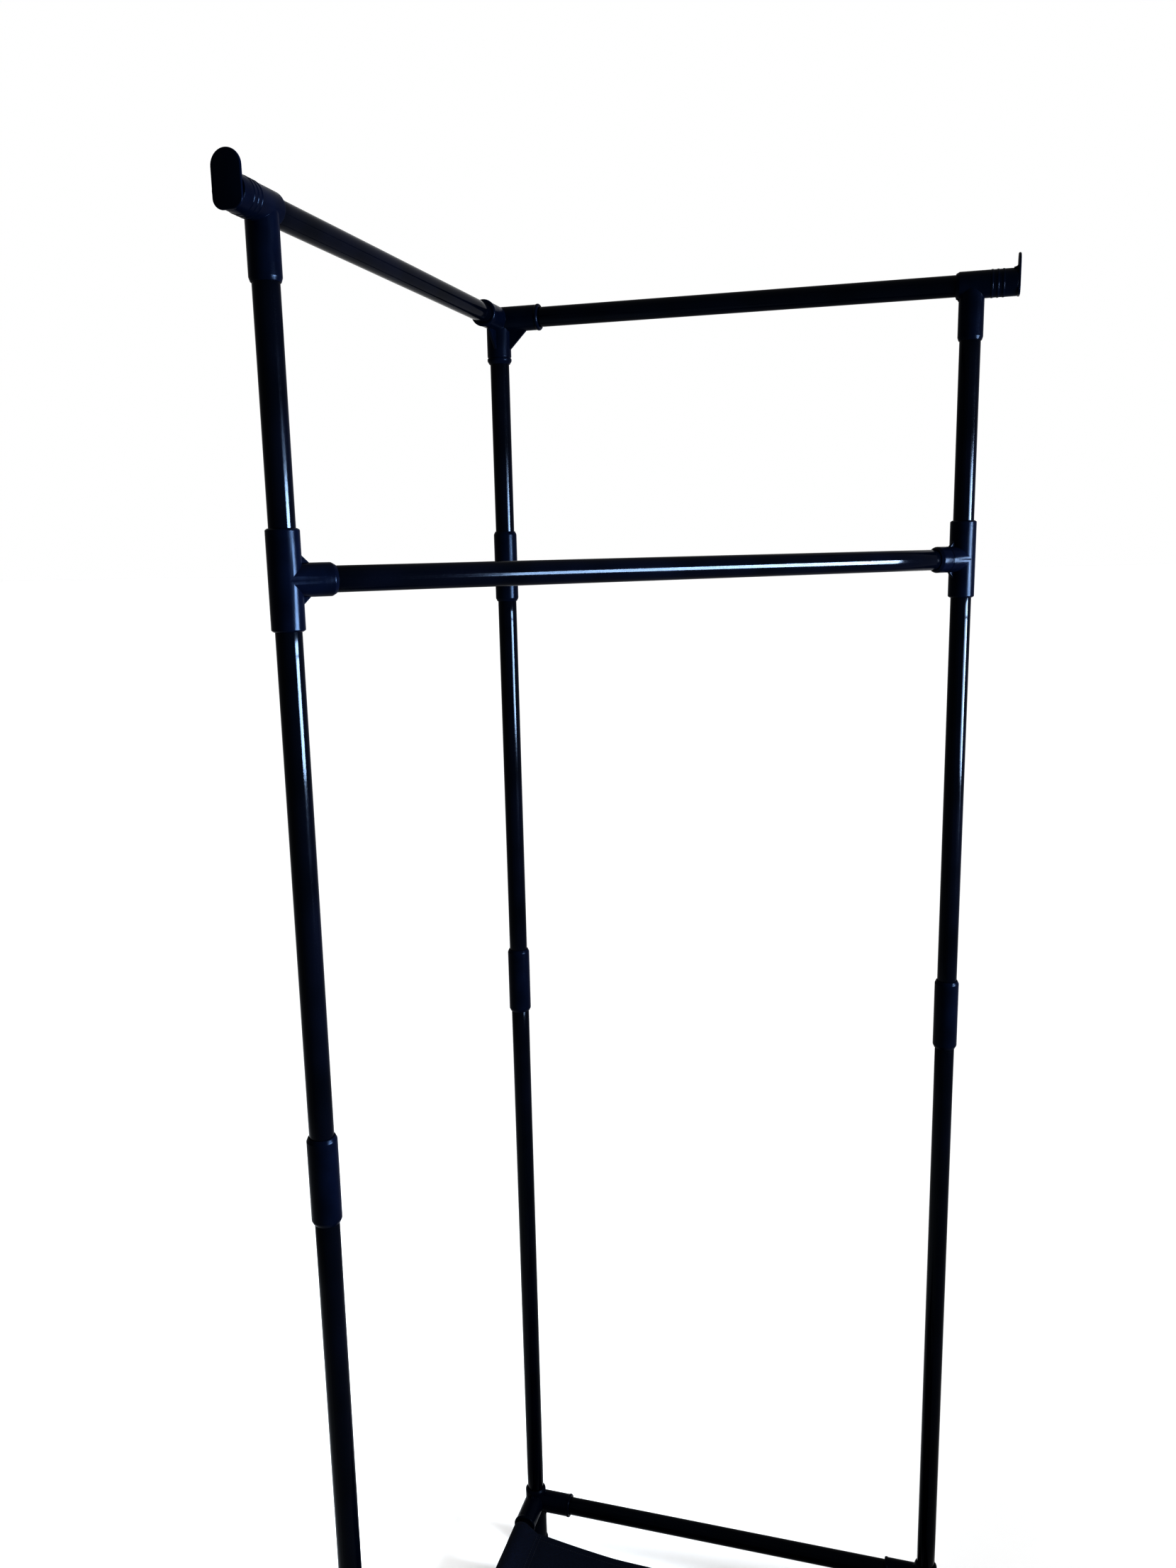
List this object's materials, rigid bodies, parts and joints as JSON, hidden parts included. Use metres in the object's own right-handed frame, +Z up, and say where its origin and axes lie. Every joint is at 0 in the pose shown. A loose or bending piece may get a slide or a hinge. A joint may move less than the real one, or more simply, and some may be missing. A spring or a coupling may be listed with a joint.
{
  "type": "corner garment rail",
  "caption": "Free-standing corner clothes rail of push-fit tube: two hanging rails at right angles, a diagonal cross bar, and a square base with a low fabric shelf.",
  "frame": {"origin": "middle of the overall outline, on the floor", "axes": "+Z up; the right-hand hanging rail runs along +X from the corner post, the left-hand hanging rail along -Y; the corner post is at -X, +Y"},
  "size_m": [0.5933, 0.5933, 1.6828],
  "materials": {
    "black_enamel": "glossy black stoved enamel on thin steel tube, faint blue cast",
    "black_moulding": "satin black injection-moulded plastic with a soft sheen",
    "foot_plastic": "dull black soft plastic",
    "shelf_cloth": "blue-black non-woven fabric, matt, stitched sleeves"
  },
  "bodies": {
    "root": {"post_upper_corner": "black_enamel", "post_middle_corner": "black_enamel", "post_lower_corner": "black_enamel", "post_upper_left": "black_enamel", "post_middle_left": "black_enamel", "post_lower_left": "black_enamel", "post_upper_right": "black_enamel", "post_middle_right": "black_enamel", "post_lower_right": "black_enamel", "hanging_rail_left": "black_enamel", "hanging_rail_right": "black_enamel", "cross_bar": "black_enamel", "base_rail_back": "black_enamel", "base_rail_left": "black_enamel", "base_rail_right": "black_enamel", "base_rail_front": "black_enamel", "top_connector_corner": "black_moulding", "end_connector_left": "black_moulding", "end_connector_right": "black_moulding", "tee_left": "black_moulding", "tee_right": "black_moulding", "upper_coupler_corner": "black_moulding", "lower_coupler_corner": "black_moulding", "lower_coupler_left": "black_moulding", "lower_coupler_right": "black_moulding", "base_connector_corner": "black_moulding", "base_connector_left": "black_moulding", "base_connector_right": "black_moulding", "base_connector_front": "black_moulding", "foot_corner": "foot_plastic", "foot_left": "foot_plastic", "foot_right": "foot_plastic", "foot_front": "foot_plastic", "socket_plug_front": "foot_plastic", "shelf_fabric": "shelf_cloth"}
  },
  "joints": []
}
